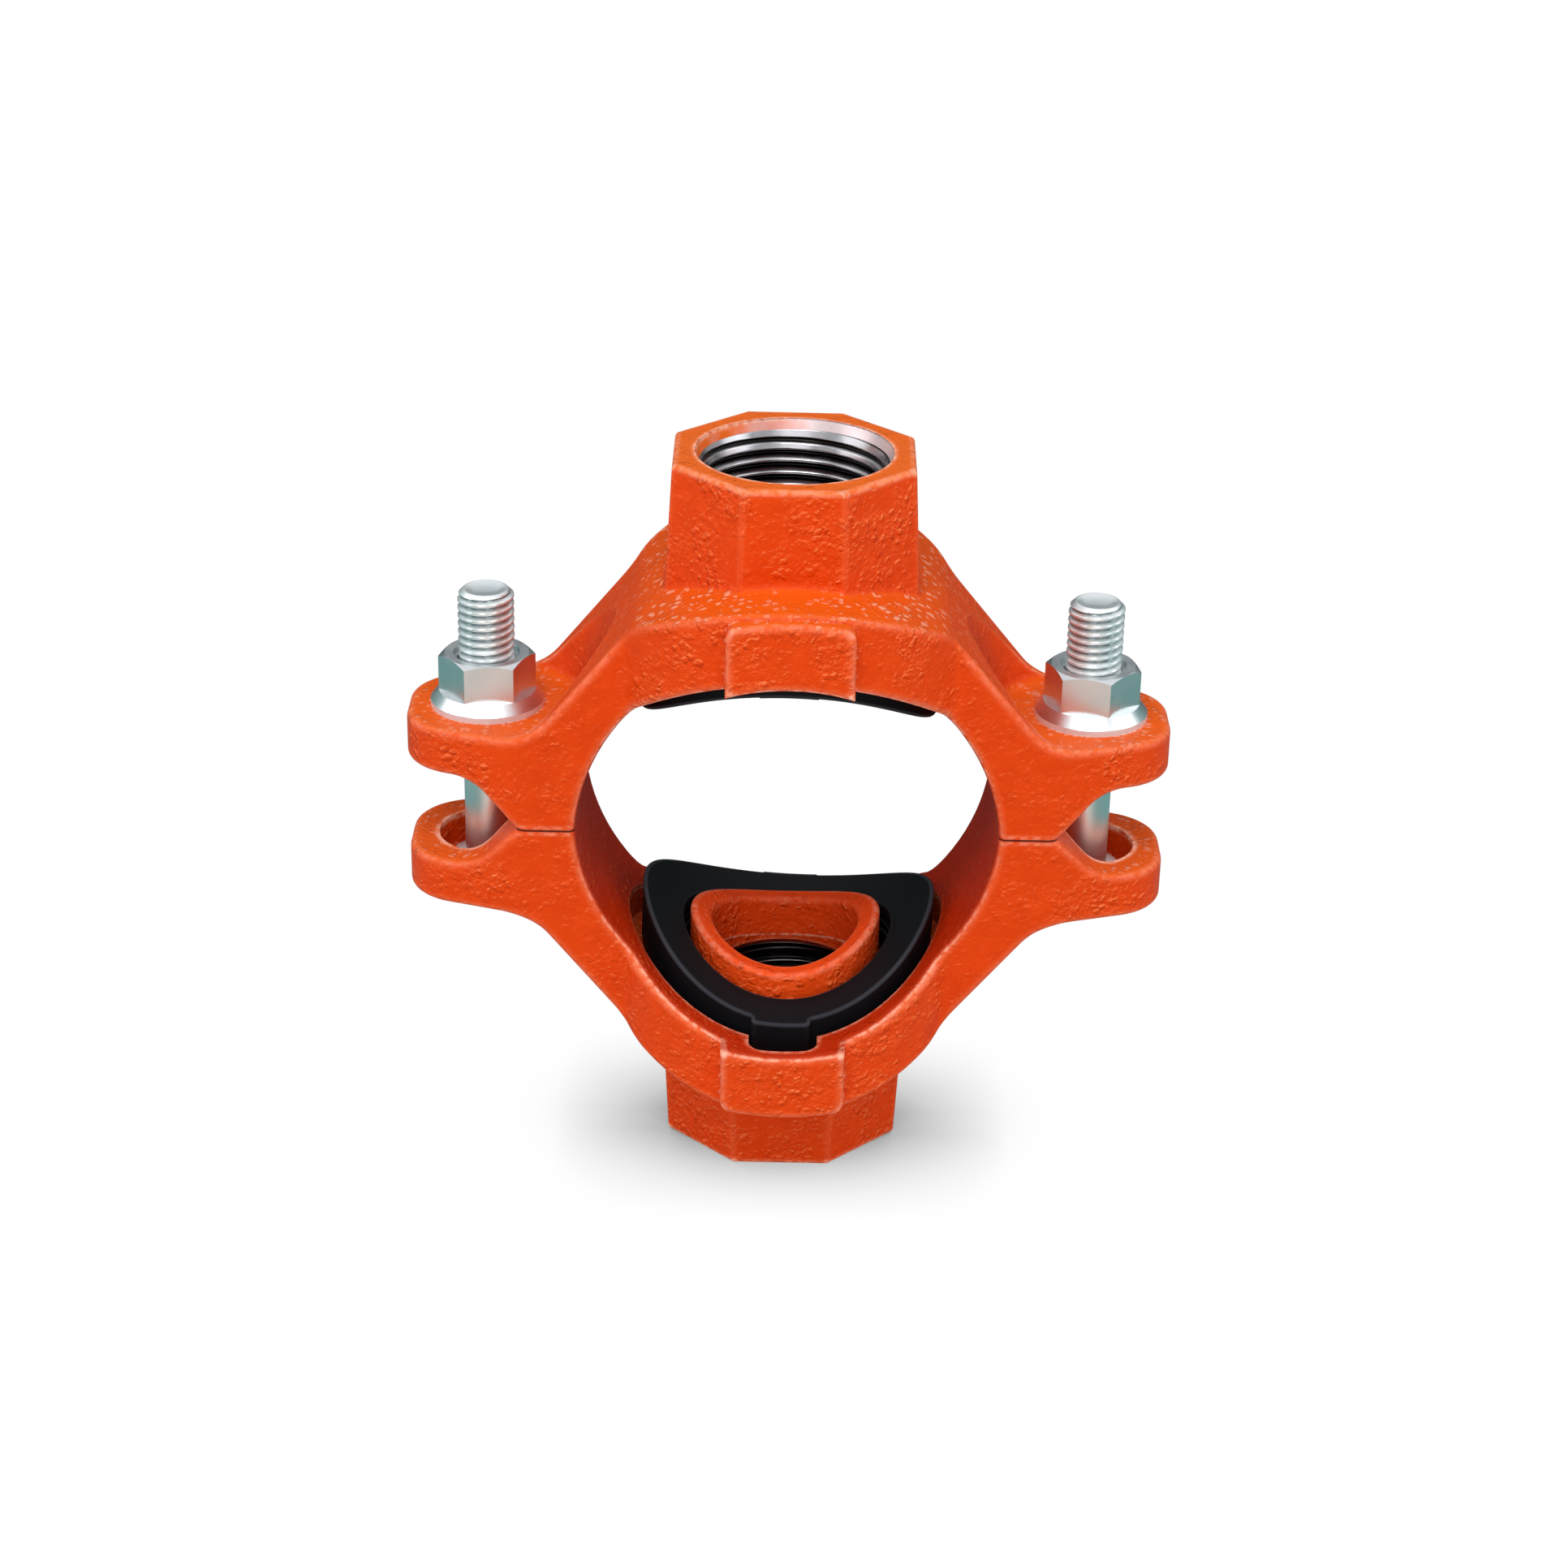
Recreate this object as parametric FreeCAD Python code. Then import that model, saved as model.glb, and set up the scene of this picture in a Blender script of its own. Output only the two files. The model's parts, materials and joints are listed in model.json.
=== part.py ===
import FreeCAD
import Part
import math
import os

Vector = FreeCAD.Vector

# Millimetres. The origin is where the axis of the run pipe crosses the axis of the outlets.
# X goes from bolt to bolt, Y along the run pipe with the front at -Y, Z up through the outlets.

# Run pipe, and the seat that each half has for it
run_pipe_diameter = 73.0
crown_closing = 1.3  # the seat's crown is this much lower than the pipe, so the bolts can press it
side_play = 1.1  # between pipe and seat at the parting plane
crown_wall = 13.0  # iron over the pipe at the crown

# Threaded outlet and its octagonal boss
centre_to_end = 65.6
pipe_thread_diameter = 33.25
pipe_thread_length = 20.0  # of full thread, from the outlet's end
thread_runout = 7.6  # where the thread fades into the drilled hole
thread_drill_diameter = 29.8
mouth_chamfer = 0.65
mouth_chamfer_depth = 1.9
waterway_diameter = 27.0
boss_across_flats = 42.0  # at its end
boss_draft = 2.95  # degrees
boss_edge_rounding = 0.9
boss_foot_rounding = 1.4

# Collar that enters the hole in the pipe
collar_wall = 3.95
collar_reach_radius = 28.1  # of its saddle-shaped end, about the run axis
collar_rounding = 0.8

# Saddle gasket
gasket_play_inside = 1.65  # between the collar and the gasket
gasket_width = 7.6
gasket_thickness = 7.7
gasket_seat_gap = 0.05
gasket_rounding = 0.4
gasket_lip_slot = 1.4  # the slot that lets water press the lip
gasket_lip_depth = 2.6
gasket_tab_width = 10.6
gasket_tab_reach = 28.2  # from the outlet axis
gasket_tab_corner = 1.2
gasket_thin_tab = 5.2  # thickness of one of the two tabs; the other is as thick as the ring
lower_gasket_tilt = 3.3  # degrees; it lies loose, with its rear standing up
lower_gasket_roll = 1.5  # degrees, with its left side standing up
lower_gasket_turn = -1.3  # degrees about the outlet axis
upper_gasket_tilt = 2.2  # degrees; it hangs loose, with its front let down
upper_gasket_roll = 0.5  # degrees, with its right side let down

# Recess for the gasket, with its notches
recess_play = 2.0  # between the gasket's rim and the recess wall
recess_depth = 4.8  # below the seat's crown
notch_play = 0.8  # each side of the gasket's tab
notch_reach = 33.0  # from the outlet axis
notch_rounding = 2.4

# Round saddle over the recess, and the tabs at its front and rear
saddle_rim = 5.1  # iron between the recess wall and the saddle's edge
tab_projection = 2.2  # beyond the saddle's edge
tab_width = 22.0
tab_step = 0.8  # the tab's top is this much lower than the hub
tab_corner_rounding = 2.2

# Bolt lugs, placed from the side of the pipe seat
pad_width = 10.2  # mating face beside the seat
bolt_offset = 16.5  # from the edge of the seat to the bolt axis
lug_end_offset = 14.1  # from the bolt axis to the lug's end
lug_face_height = 16.9  # nut and head faces, above the parting plane
lug_thickness = 8.4
arm_slope = 50.5  # degrees, of the outer slope
ramp_slope = 46.5  # degrees, of the ramp beside the pad
slope_foot_offset = 8.35  # from the bolt axis towards the hub
arm_depth = 35.8  # along the run pipe
lug_taper = 18.6  # degrees, of the lug's front and rear in plan
lug_taper_offset = 6.1  # from the bolt axis towards the hub
lug_corner_rounding = 11.0
taper_rounding = 14.0
ramp_rounding = 9.0
foot_rounding = 11.0
shoulder_rounding = 12.0
crease_rounding = 2.4
cast_edge_rounding = 1.2

# Room for a socket round the nut, and the pocket round the bolt hole
socket_radius = 17.4
socket_draft = 17.5  # degrees
socket_floor_rounding = 2.6
pocket_radius = 9.2
pocket_floor = 2.5  # iron left under the nut and over the head

# Track bolts and flange nuts, M10
bolt_diameter = 10.0
bolt_length = 55.7
bolt_thread_length = 27.0
shank_diameter = 9.0
head_diameter = 20.0
head_height = 5.6
head_rim = 1.4
head_shoulder_radius = 6.2  # where the dome turns down to the rim
head_shoulder_height = 3.0  # above the rim
neck_width = 10.6
neck_length = 13.6
neck_height = 4.5
neck_play = 0.25
thread_play = 0.06  # between the bolt's thread and the nut's
tip_chamfer = 0.95
nut_across_flats = 15.0
nut_height = 9.8
nut_flange_diameter = 20.3
nut_flange_rim = 1.1
nut_flange_height = 2.9
nut_mouth_chamfer = 0.9
nut_crown_angle = 30.0  # degrees, of the chamfer over its corners
left_nut_turn = -23.0  # degrees, of a corner from the front, towards +X
right_nut_turn = 17.0

# Sizes that follow from those above
seat_crown = run_pipe_diameter / 2 - crown_closing
seat_side = run_pipe_diameter / 2 + side_play
seat_drop = (seat_side ** 2 - seat_crown ** 2) / (2 * seat_crown)
seat_radius = seat_crown + seat_drop
hub_radius = seat_crown + crown_wall
collar_radius = waterway_diameter / 2 + collar_wall
gasket_inner = collar_radius + gasket_play_inside
gasket_outer = gasket_inner + gasket_width
recess_radius = gasket_outer + recess_play
recess_floor_radius = seat_crown + recess_depth
gasket_back_radius = recess_floor_radius - gasket_seat_gap
gasket_face_radius = recess_floor_radius - gasket_thickness
saddle_radius = recess_radius + saddle_rim
tab_reach = saddle_radius + tab_projection
pad_edge = seat_side + pad_width
bolt_x = seat_side + bolt_offset
lug_end = bolt_x + lug_end_offset
slope_foot = bolt_x - slope_foot_offset
lug_under = lug_face_height - lug_thickness
thread_wall_radius = pipe_thread_diameter / 2
beyond = 3 * centre_to_end  # length of tools that cut right through


def arc_about(centre, radius, start, end, side=1):
    """Arc in the XZ plane about centre, between two angles in degrees; side -1 mirrors it in x."""
    angles = [math.radians(a) for a in (start, (start + end) / 2, end)]
    points = [(centre[0] + radius * math.cos(a), centre[1] + radius * math.sin(a)) for a in angles]
    return Part.Arc(*[Vector(side * x, 0, z) for x, z in points]).toShape()


def line(start, end, side=1):
    points = [Vector(side * x, 0, z) for x, z in (start, end)]
    return Part.LineSegment(*points).toShape()


def run_cylinder(radius, centre_z=0.0):
    """Cylinder along the run axis, long enough to cut through."""
    return Part.makeCylinder(radius, 2 * beyond, Vector(0, -beyond, centre_z), Vector(0, 1, 0))


def outlet_cylinder(radius):
    """Cylinder along the outlet axis, from below the parting plane upwards."""
    return Part.makeCylinder(radius, 2 * beyond, Vector(0, 0, -beyond))


def is_upright(edge):
    start, end = edge.Vertexes[0].Point, edge.Vertexes[-1].Point
    return abs(start.x - end.x) + abs(start.y - end.y) < 1e-6 and abs(start.z - end.z) > 1e-3


def block(width, depth, low, high, centre_y=0.0):
    """Box centred on X, from z = low to high."""
    return Part.makeBox(width, depth, high - low, Vector(-width / 2, centre_y - depth / 2, low))


def upper_space():
    return block(2 * beyond, 2 * beyond, 0, beyond)


def middle(edge):
    return edge.valueAt((edge.FirstParameter + edge.LastParameter) / 2)


def placed(shape, x, turn=0.0):
    copy = shape.copy()
    copy.rotate(Vector(0, 0, 0), Vector(0, 0, 1), turn)
    copy.translate(Vector(x, 0, 0))
    return copy


def strap_section(side):
    """One half of the strap's section across the run pipe, from the seat's crown to the hub's crown."""
    slope = math.radians(arm_slope)
    up, along = math.sin(slope), math.cos(slope)

    # the shoulder's arc lies inside the hub's circle and touches the outer slope
    reach = hub_radius - shoulder_rounding
    shoulder_depth = slope_foot * up + lug_face_height * along - shoulder_rounding
    shoulder_turn = math.atan2(along, up) + math.acos(shoulder_depth / reach)
    shoulder_centre = (reach * math.cos(shoulder_turn), reach * math.sin(shoulder_turn))
    slope_start_x = shoulder_centre[0] + shoulder_rounding * up
    slope_start = (slope_start_x, shoulder_centre[1] + shoulder_rounding * along)
    shoulder_start = math.degrees(math.atan2(along, up))
    shoulder_end = math.degrees(shoulder_turn)

    # the slope turns into the lug's face, and the ramp beside the pad into its underside
    foot_tangent = foot_rounding * math.tan(slope / 2)
    foot_start = (slope_foot + foot_tangent, lug_face_height)
    foot_end = (slope_foot - foot_tangent * along, lug_face_height + foot_tangent * up)
    foot_centre = (foot_start[0], lug_face_height + foot_rounding)
    ramp = math.radians(ramp_slope)
    ramp_tangent = ramp_rounding * math.tan(ramp / 2)
    knee = pad_edge + lug_under / math.tan(ramp)
    ramp_end = (knee - ramp_tangent * math.cos(ramp), lug_under - ramp_tangent * math.sin(ramp))
    under_start = (knee + ramp_tangent, lug_under)
    ramp_centre = (under_start[0], lug_under - ramp_rounding)

    seat_angle = math.degrees(math.atan2(seat_drop, seat_side))
    return [
        arc_about((0, -seat_drop), seat_radius, 90, seat_angle, side),
        line((seat_side, 0), (pad_edge, 0), side),
        line((pad_edge, 0), ramp_end, side),
        arc_about(ramp_centre, ramp_rounding, 90 + ramp_slope, 90, side),
        line(under_start, (lug_end, lug_under), side),
        line((lug_end, lug_under), (lug_end, lug_face_height), side),
        line((lug_end, lug_face_height), foot_start, side),
        arc_about(foot_centre, foot_rounding, -90, -90 - arm_slope, side),
        line(foot_end, slope_start, side),
        arc_about(shoulder_centre, shoulder_rounding, shoulder_start, shoulder_end, side),
        arc_about((0, 0), hub_radius, shoulder_end, 90, side),
    ]


def strap_plan():
    """The strap seen from above: two arms with tapered lugs, and the round saddle between them."""
    taper_x = bolt_x - lug_taper_offset
    half = arm_depth / 2
    tip = half - (lug_end - taper_x) * math.tan(math.radians(lug_taper))
    right = [(taper_x, -half), (lug_end, -tip), (lug_end, tip), (taper_x, half)]
    left = [(-x, -y) for x, y in right]
    corners = [Vector(x, y, 0) for x, y in right + left]
    arms = Part.Face(Part.makePolygon(corners + corners[:1])).extrude(Vector(0, 0, beyond))
    ends = [e for e in arms.Edges if is_upright(e) and abs(abs(e.Vertexes[0].X) - lug_end) < 1e-6]
    arms = arms.makeFillet(lug_corner_rounding, ends)
    bends = [e for e in arms.Edges if is_upright(e) and abs(abs(e.Vertexes[0].X) - taper_x) < 1e-6]
    arms = arms.makeFillet(taper_rounding, bends)
    plan = arms.fuse(Part.makeCylinder(saddle_radius, beyond)).removeSplitter()
    creases = []
    for edge in plan.Edges:
        if is_upright(edge):
            foot = edge.Vertexes[0]
            if abs(math.hypot(foot.X, foot.Y) - saddle_radius) < 1e-4 and abs(abs(foot.Y) - half) < 1e-4:
                creases.append(edge)
    return plan.makeFillet(crease_rounding, creases)


def strap():
    """The arched strap with its lugs, its cast edges rounded and its mating pads left sharp."""
    outline = Part.Wire(Part.__sortEdges__(strap_section(1) + strap_section(-1)))
    section = Part.Face(outline).extrude(Vector(0, 2 * tab_reach, 0))
    section.translate(Vector(0, -tab_reach, 0))
    body = section.common(strap_plan())
    cast = []
    for edge in body.Edges:
        box = edge.BoundBox
        goes_through = box.XLength < 1e-4 and box.ZLength < 1e-4
        if box.ZMax > 1e-4 and not goes_through and not is_upright(edge):
            cast.append(edge)
    return body.makeFillet(cast_edge_rounding, cast)


def end_tab():
    """The tab at the front of the saddle, which holds the gasket's notch."""
    depth = tab_reach - gasket_inner
    tab = block(tab_width, depth, 0, hub_radius, -(gasket_inner + depth / 2))
    tab = tab.common(run_cylinder(hub_radius - tab_step)).cut(run_cylinder(seat_radius, -seat_drop))
    sides = []
    for edge in tab.Edges:
        box = edge.BoundBox
        on_side = abs(abs(box.Center.x) - tab_width / 2) < 1e-6
        on_top = box.Center.z > (hub_radius + seat_crown) / 2
        if on_side and on_top and box.YLength > depth - 1e-6:
            sides.append(edge)
    tab = tab.makeFillet(tab_corner_rounding, sides)
    face = [edge for edge in tab.Edges if edge.BoundBox.YMax < -tab_reach + 1e-6]
    return tab.makeFillet(cast_edge_rounding, face)


def boss():
    """The octagonal boss, drafted towards its end, from inside the hub up."""
    height = centre_to_end - recess_floor_radius
    top = boss_across_flats / 2
    foot = top + height * math.tan(math.radians(boss_draft))
    rings = []
    for z, inscribed in ((recess_floor_radius, foot), (centre_to_end, top)):
        reach = inscribed / math.cos(math.pi / 8)
        angles = [math.pi / 8 + math.pi / 4 * i for i in range(8)]
        points = [Vector(reach * math.cos(a), reach * math.sin(a), z) for a in angles]
        rings.append(Part.makePolygon(points + points[:1]))
    body = Part.makeLoft(rings, True, True)
    outer = [edge for edge in body.Edges if edge.BoundBox.ZMax > recess_floor_radius + 1e-3]
    return body.makeFillet(boss_edge_rounding, outer)


def collar():
    """The ring round the waterway that enters the pipe, its end cut to the pipe's curve."""
    tube = outlet_cylinder(collar_radius).cut(outlet_cylinder(waterway_diameter / 2))
    tube = tube.common(run_cylinder((recess_floor_radius + hub_radius) / 2))
    tube = tube.cut(run_cylinder(collar_reach_radius)).common(upper_space())
    rim = [edge for edge in tube.Edges if edge.BoundBox.ZMin < collar_reach_radius]
    return tube.makeFillet(collar_rounding, rim)


def gasket_room():
    """The recess for the gasket, with a notch for each of its tabs."""
    notch = block(gasket_tab_width + 2 * notch_play, 2 * notch_reach, 0, beyond)
    notch = notch.makeFillet(notch_rounding, [edge for edge in notch.Edges if is_upright(edge)])
    room = outlet_cylinder(recess_radius).common(upper_space())
    return room.fuse(notch).common(run_cylinder(recess_floor_radius))


def socket_room():
    """The room for a socket round a nut, with a rounded floor, about the right bolt."""
    slope = math.tan(math.radians(socket_draft))
    top = hub_radius
    low = Vector(0, 0, lug_face_height)
    foot = Vector(socket_radius, 0, lug_face_height)
    rim = Vector(socket_radius + (top - lug_face_height) * slope, 0, top)
    outline = Part.makePolygon([low, foot, rim, Vector(0, 0, top), low])
    room = Part.Face(outline).revolve(Vector(0, 0, 0), Vector(0, 0, 1), 360)
    floor = [edge for edge in room.Edges if abs(edge.BoundBox.ZMax - lug_face_height) < 1e-6]
    floor = [edge for edge in floor if edge.BoundBox.XLength > socket_radius + 1e-6]
    room = room.makeFillet(socket_floor_rounding, floor)
    room.translate(Vector(bolt_x, 0, 0))
    return room


def oval(length, width, low, high):
    """Upright oval bar, long along X, with round ends."""
    straight = length - width
    bar = block(straight, width, low, high)
    centres = [Vector(side * straight / 2, 0, low) for side in (-1, 1)]
    ends = [Part.makeCylinder(width / 2, high - low, centre) for centre in centres]
    return bar.fuse(ends).removeSplitter()


def bolt_hole():
    """Oval hole and round pocket about the right bolt."""
    hole = oval(neck_length + 2 * neck_play, neck_width + 2 * neck_play, 0, hub_radius)
    pocket = Part.makeCylinder(pocket_radius, lug_face_height - pocket_floor)
    hole = hole.fuse(pocket)
    hole.translate(Vector(bolt_x, 0, 0))
    return hole


def outlet_bore():
    """Waterway, the drilled step, the thread's run-out and wall, and the chamfer at its mouth."""
    waterway = waterway_diameter / 2
    drill = thread_drill_diameter / 2
    thread_foot = centre_to_end - pipe_thread_length
    drill_foot = thread_foot - thread_runout
    outline = [
        (0, 0),
        (waterway, 0),
        (waterway, drill_foot - abs(drill - waterway)),
        (drill, drill_foot),
        (thread_wall_radius, thread_foot),
        (thread_wall_radius, centre_to_end - mouth_chamfer_depth),
        (thread_wall_radius + 2 * mouth_chamfer, centre_to_end + mouth_chamfer_depth),
        (0, centre_to_end + mouth_chamfer_depth),
        (0, 0),
    ]
    points = [Vector(x, 0, z) for x, z in outline]
    return Part.Face(Part.makePolygon(points)).revolve(Vector(0, 0, 0), Vector(0, 0, 1), 360)


def on_both_sides(tool):
    """A right-hand tool and its like turned half round the outlet axis."""
    other = tool.copy()
    other.rotate(Vector(0, 0, 0), Vector(0, 0, 1), 180)
    return [tool, other]


def rounded_foot(body):
    """The body with its boss joined on and the boss's foot rounded into the hub."""
    body = body.fuse(boss()).removeSplitter()
    foot = []
    for edge in body.Edges:
        point = middle(edge)
        near_boss = math.hypot(point.x, point.y) < recess_radius
        if near_boss and point.z > seat_crown and abs(math.hypot(point.x, point.z) - hub_radius) < 1e-3:
            foot.append(edge)
    return body.makeFillet(boss_foot_rounding, foot)


def housing():
    """One casting, above the parting plane."""
    body = rounded_foot(strap()).cut(on_both_sides(socket_room()))
    body = body.fuse(on_both_sides(end_tab())).removeSplitter()
    body = body.cut(on_both_sides(bolt_hole()) + [gasket_room()])
    return body.fuse(collar()).cut(outlet_bore()).removeSplitter()


def gasket():
    """Saddle ring for the upper half, seated square in its recess, with its thin tab in front."""
    tabs = block(gasket_tab_width, 2 * gasket_tab_reach, 0, beyond)
    tabs = tabs.makeFillet(gasket_tab_corner, [edge for edge in tabs.Edges if is_upright(edge)])
    ring = outlet_cylinder(gasket_outer).common(upper_space()).fuse(tabs)
    ring = ring.cut([run_cylinder(gasket_face_radius), outlet_cylinder(gasket_inner)])
    ring = ring.common(run_cylinder(gasket_back_radius)).removeSplitter()
    slot_middle = (gasket_back_radius + gasket_face_radius) / 2
    slot = outlet_cylinder(gasket_inner + gasket_lip_depth).common(upper_space())
    slot = slot.common(run_cylinder(slot_middle + gasket_lip_slot / 2))
    ring = ring.cut(slot.cut(run_cylinder(slot_middle - gasket_lip_slot / 2)))
    face = []
    for edge in ring.Edges:
        point = middle(edge)
        if abs(math.hypot(point.x, point.z) - gasket_face_radius) < 1e-3:
            face.append(edge)
    ring = ring.makeFillet(gasket_rounding, face)
    over_thin_tab = run_cylinder(gasket_back_radius - gasket_thin_tab).cut(outlet_cylinder(gasket_outer))
    return ring.cut(over_thin_tab.common(block(beyond, beyond, 0, beyond, -beyond / 2)))


def bolt():
    """Track bolt on its own axis: domed head below, oval neck, reduced shank, thread up to the tip."""
    head = head_diameter / 2
    under = -lug_face_height
    tip = under + bolt_length
    thread = bolt_diameter / 2
    shank = shank_diameter / 2
    thread_start = tip - bolt_thread_length
    dome_top = Vector(0, 0, under - head_height)
    rim_low = Vector(head, 0, under - head_rim)
    shoulder = Vector(head_shoulder_radius, 0, under - head_rim - head_shoulder_height)
    edges = [
        Part.Arc(dome_top, shoulder, rim_low).toShape(),
        line((head, under - head_rim), (head, under)),
        line((head, under), (shank, under)),
        line((shank, under), (shank, thread_start - (thread - shank))),
        line((shank, thread_start - (thread - shank)), (thread, thread_start)),
        line((thread, thread_start), (thread, tip - tip_chamfer)),
        line((thread, tip - tip_chamfer), (thread - tip_chamfer, tip)),
        line((thread - tip_chamfer, tip), (0, tip)),
        line((0, tip), (0, under - head_height)),
    ]
    body = Part.Face(Part.Wire(edges)).revolve(Vector(0, 0, 0), Vector(0, 0, 1), 360)
    neck = oval(neck_length, neck_width, under, under + neck_height)
    return body.fuse(neck).removeSplitter()


def nut():
    """Hexagon flange nut on its own axis, with a corner towards -Y, seated on the lug."""
    corner = nut_across_flats / math.sqrt(3)
    turns = [math.pi / 3 * i for i in range(6)]
    points = [Vector(corner * math.sin(turn), -corner * math.cos(turn), 0) for turn in turns]
    hexagon = Part.Face(Part.makePolygon(points + points[:1])).extrude(Vector(0, 0, nut_height))
    flange = nut_flange_diameter / 2
    crown = math.tan(math.radians(nut_crown_angle))
    flat = nut_across_flats / 2
    chamfer = Part.makeCone(flat + nut_height / crown, flat, nut_height)
    cone_foot = flange + nut_flange_rim * (flange - corner) / (nut_flange_height - nut_flange_rim)
    skirt = Part.makeCone(cone_foot, corner, nut_flange_height)
    skirt = skirt.common(Part.makeCylinder(flange, nut_height))
    lid = Part.makeCone(corner, flat, nut_flange_height / 2, Vector(0, 0, nut_flange_height))
    body = hexagon.common(chamfer).fuse(skirt.fuse(lid.common(hexagon)))
    bore = bolt_diameter / 2 + thread_play
    body = body.cut(Part.makeCylinder(bore, nut_height))
    mouth = Part.makeCone(bore + nut_mouth_chamfer, bore, nut_mouth_chamfer)
    top_mouth = Part.makeCone(bore, bore + nut_mouth_chamfer, nut_mouth_chamfer)
    top_mouth.translate(Vector(0, 0, nut_height - nut_mouth_chamfer))
    body = body.cut([mouth, top_mouth]).removeSplitter()
    body.translate(Vector(0, 0, lug_face_height))
    return body


def lower(shape):
    """The same piece in the lower half, which is the upper half turned over."""
    turned = shape.copy()
    turned.rotate(Vector(0, 0, 0), Vector(1, 0, 0), 180)
    return turned


def leaned(shape, tilt, roll, corner):
    """A gasket tilted along the run and then rolled across it, about one corner of a tab."""
    leaning = shape.copy()
    leaning.rotate(corner, Vector(1, 0, 0), tilt)
    leaning.rotate(corner, Vector(0, 1, 0), roll)
    return leaning


upper_housing = housing()
saddle_gasket = gasket()
track_bolt = bolt()
flange_nut = nut()
corner_x = gasket_tab_width / 2
corner_z = math.sqrt(gasket_back_radius ** 2 - corner_x ** 2)
rear_corner = Vector(-corner_x, gasket_tab_reach, corner_z)
front_corner = Vector(corner_x, -gasket_tab_reach, -corner_z)
turned_gasket = placed(lower(saddle_gasket), 0, lower_gasket_turn)
pieces = {
    "upper_housing": upper_housing,
    "lower_housing": lower(upper_housing),
    "upper_gasket": leaned(saddle_gasket, upper_gasket_tilt, upper_gasket_roll, rear_corner),
    "lower_gasket": leaned(turned_gasket, lower_gasket_tilt, lower_gasket_roll, front_corner),
    "left_bolt": placed(track_bolt, -bolt_x),
    "right_bolt": placed(track_bolt, bolt_x),
    "left_nut": placed(flange_nut, -bolt_x, left_nut_turn),
    "right_nut": placed(flange_nut, bolt_x, right_nut_turn),
}
os.makedirs("parts", exist_ok=True)
for name, piece in pieces.items():
    piece.exportStep("parts/" + name + ".step")
    print(name, piece.ShapeType, len(piece.Solids), piece.isValid(), round(piece.Volume / 1000, 2), "cm3")
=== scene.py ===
import json
import math

import bpy
import numpy as np
from mathutils import Matrix, Vector


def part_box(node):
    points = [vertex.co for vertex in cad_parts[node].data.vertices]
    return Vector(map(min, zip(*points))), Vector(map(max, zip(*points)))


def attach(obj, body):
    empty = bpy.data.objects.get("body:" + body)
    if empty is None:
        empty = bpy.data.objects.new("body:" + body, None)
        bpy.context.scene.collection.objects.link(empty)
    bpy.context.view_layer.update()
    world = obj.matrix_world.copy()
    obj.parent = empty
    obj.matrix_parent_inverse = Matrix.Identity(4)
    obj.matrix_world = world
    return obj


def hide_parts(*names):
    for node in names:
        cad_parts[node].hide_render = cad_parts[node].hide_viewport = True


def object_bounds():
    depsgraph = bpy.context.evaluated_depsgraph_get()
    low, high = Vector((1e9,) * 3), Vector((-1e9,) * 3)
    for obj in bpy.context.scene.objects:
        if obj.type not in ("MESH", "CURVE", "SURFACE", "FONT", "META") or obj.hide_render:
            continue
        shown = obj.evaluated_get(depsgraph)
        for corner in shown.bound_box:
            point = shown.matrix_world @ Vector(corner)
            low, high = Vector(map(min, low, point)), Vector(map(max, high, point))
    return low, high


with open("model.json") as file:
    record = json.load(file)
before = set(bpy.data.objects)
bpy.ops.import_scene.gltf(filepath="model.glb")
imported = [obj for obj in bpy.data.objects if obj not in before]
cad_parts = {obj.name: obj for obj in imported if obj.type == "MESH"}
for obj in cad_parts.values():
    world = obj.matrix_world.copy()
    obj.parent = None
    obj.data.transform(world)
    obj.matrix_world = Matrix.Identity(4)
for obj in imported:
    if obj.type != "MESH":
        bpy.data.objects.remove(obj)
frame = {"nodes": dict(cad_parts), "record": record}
cad_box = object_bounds()
MM = 0.001


# Housings
# Two like castings in ductile iron, cast in sand, so their skin is pimpled, and dipped in orange-red paint.
# The edges are pale, partly where the paint is rubbed thin and partly as a painted highlight, and the chamfer
# at each outlet's mouth is turned bright after it.

def linear(code):
    """sRGB hex colour as linear RGBA: c / 12.92 near black, else ((c + 0.055) / 1.055) ** 2.4."""
    channels = [int(code[i:i + 2], 16) / 255 for i in (1, 3, 5)]
    return [c / 12.92 if c < 0.04045 else ((c + 0.055) / 1.055) ** 2.4 for c in channels] + [1.0]


def add(tree, kind, inputs=None, **settings):
    """Adds a shader node. Inputs maps a socket to its value, or to the output that feeds it.

    Sockets by number: MapRange has the value, the range it comes from (1, 2) and the range it goes to (3, 4,
    else 0 to 1); MixRGB has the share of the second colour, then the two colours.
    """
    made = tree.nodes.new("ShaderNode" + kind)
    for name, value in settings.items():
        setattr(made, name, value)
    for socket, value in (inputs or {}).items():
        if isinstance(value, bpy.types.NodeSocket):
            tree.links.new(value, made.inputs[socket])
        else:
            made.inputs[socket].default_value = value
    return made


def new_material(name):
    """An empty node material, its tree, and the Object coordinates that its patterns read."""
    made = bpy.data.materials.new(name)
    made.use_nodes = True
    made.node_tree.nodes.clear()
    place = add(made.node_tree, "TexCoord").outputs["Object"]
    return made, made.node_tree, place
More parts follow.
